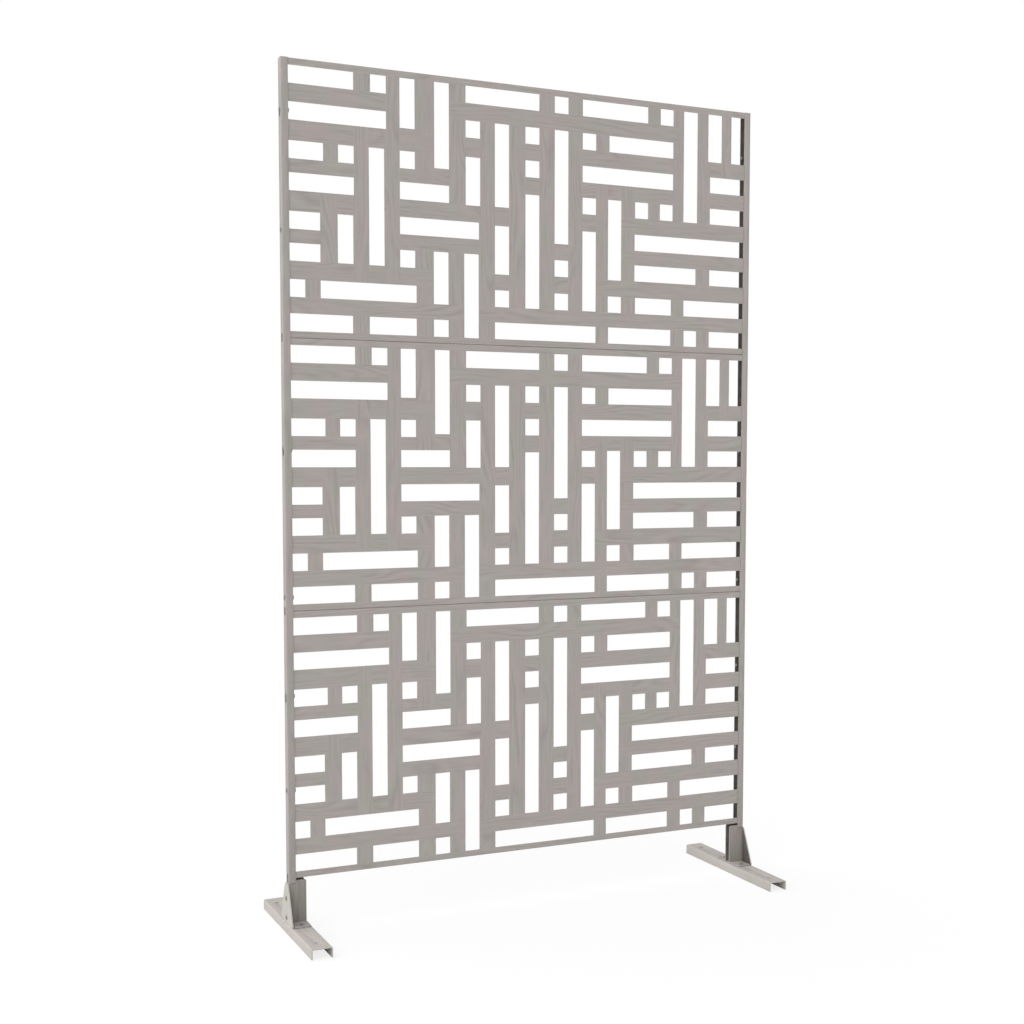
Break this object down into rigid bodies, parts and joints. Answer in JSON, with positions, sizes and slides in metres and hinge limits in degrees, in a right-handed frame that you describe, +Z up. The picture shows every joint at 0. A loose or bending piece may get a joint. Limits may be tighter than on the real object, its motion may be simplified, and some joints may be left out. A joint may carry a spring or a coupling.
{
  "type": "privacy_screen",
  "caption": "Free-standing garden privacy screen: stacked slotted sheet-metal panels between channel posts on bracketed channel feet, bolted together.",
  "frame": {"origin": "middle of the footprint, on the floor", "axes": "+X to the right seen from the front, +Y to the back, +Z up; the panels' faces look along -Y"},
  "size_m": [1.2148, 0.388, 1.9257],
  "materials": {
    "panel_coat": "satin grained powder coat",
    "frame_coat": "satin grained powder coat",
    "foot_coat": "satin powder coat",
    "bolt_steel": "black oxide, satin"
  },
  "bodies": {
    "root": {"lower_panel": "panel_coat", "middle_panel": "panel_coat", "upper_panel": "panel_coat", "left_post": "frame_coat", "left_leg": "frame_coat", "left_bracket": "foot_coat", "left_foot": "foot_coat", "right_post": "frame_coat", "right_leg": "frame_coat", "right_bracket": "foot_coat", "right_foot": "foot_coat", "left_lower_low_bolt": "bolt_steel", "left_lower_low_nut": "bolt_steel", "left_lower_high_bolt": "bolt_steel", "left_lower_high_nut": "bolt_steel", "left_middle_low_bolt": "bolt_steel", "left_middle_low_nut": "bolt_steel", "left_middle_high_bolt": "bolt_steel", "left_middle_high_nut": "bolt_steel", "left_upper_low_bolt": "bolt_steel", "left_upper_low_nut": "bolt_steel", "left_upper_high_bolt": "bolt_steel", "left_upper_high_nut": "bolt_steel", "left_middle_seam_bolt": "bolt_steel", "left_middle_seam_nut": "bolt_steel", "left_upper_seam_bolt": "bolt_steel", "left_upper_seam_nut": "bolt_steel", "left_lower_bracket_bolt": "bolt_steel", "left_lower_bracket_nut": "bolt_steel", "left_upper_bracket_bolt": "bolt_steel", "left_upper_bracket_nut": "bolt_steel", "left_front_base_bolt": "bolt_steel", "left_front_base_nut": "bolt_steel", "left_back_base_bolt": "bolt_steel", "left_back_base_nut": "bolt_steel", "right_lower_low_bolt": "bolt_steel", "right_lower_low_nut": "bolt_steel", "right_lower_high_bolt": "bolt_steel", "right_lower_high_nut": "bolt_steel", "right_middle_low_bolt": "bolt_steel", "right_middle_low_nut": "bolt_steel", "right_middle_high_bolt": "bolt_steel", "right_middle_high_nut": "bolt_steel", "right_upper_low_bolt": "bolt_steel", "right_upper_low_nut": "bolt_steel", "right_upper_high_bolt": "bolt_steel", "right_upper_high_nut": "bolt_steel", "right_middle_seam_bolt": "bolt_steel", "right_middle_seam_nut": "bolt_steel", "right_upper_seam_bolt": "bolt_steel", "right_upper_seam_nut": "bolt_steel", "right_lower_bracket_bolt": "bolt_steel", "right_lower_bracket_nut": "bolt_steel", "right_upper_bracket_bolt": "bolt_steel", "right_upper_bracket_nut": "bolt_steel", "right_front_base_bolt": "bolt_steel", "right_front_base_nut": "bolt_steel", "right_back_base_bolt": "bolt_steel", "right_back_base_nut": "bolt_steel"}
  },
  "joints": []
}
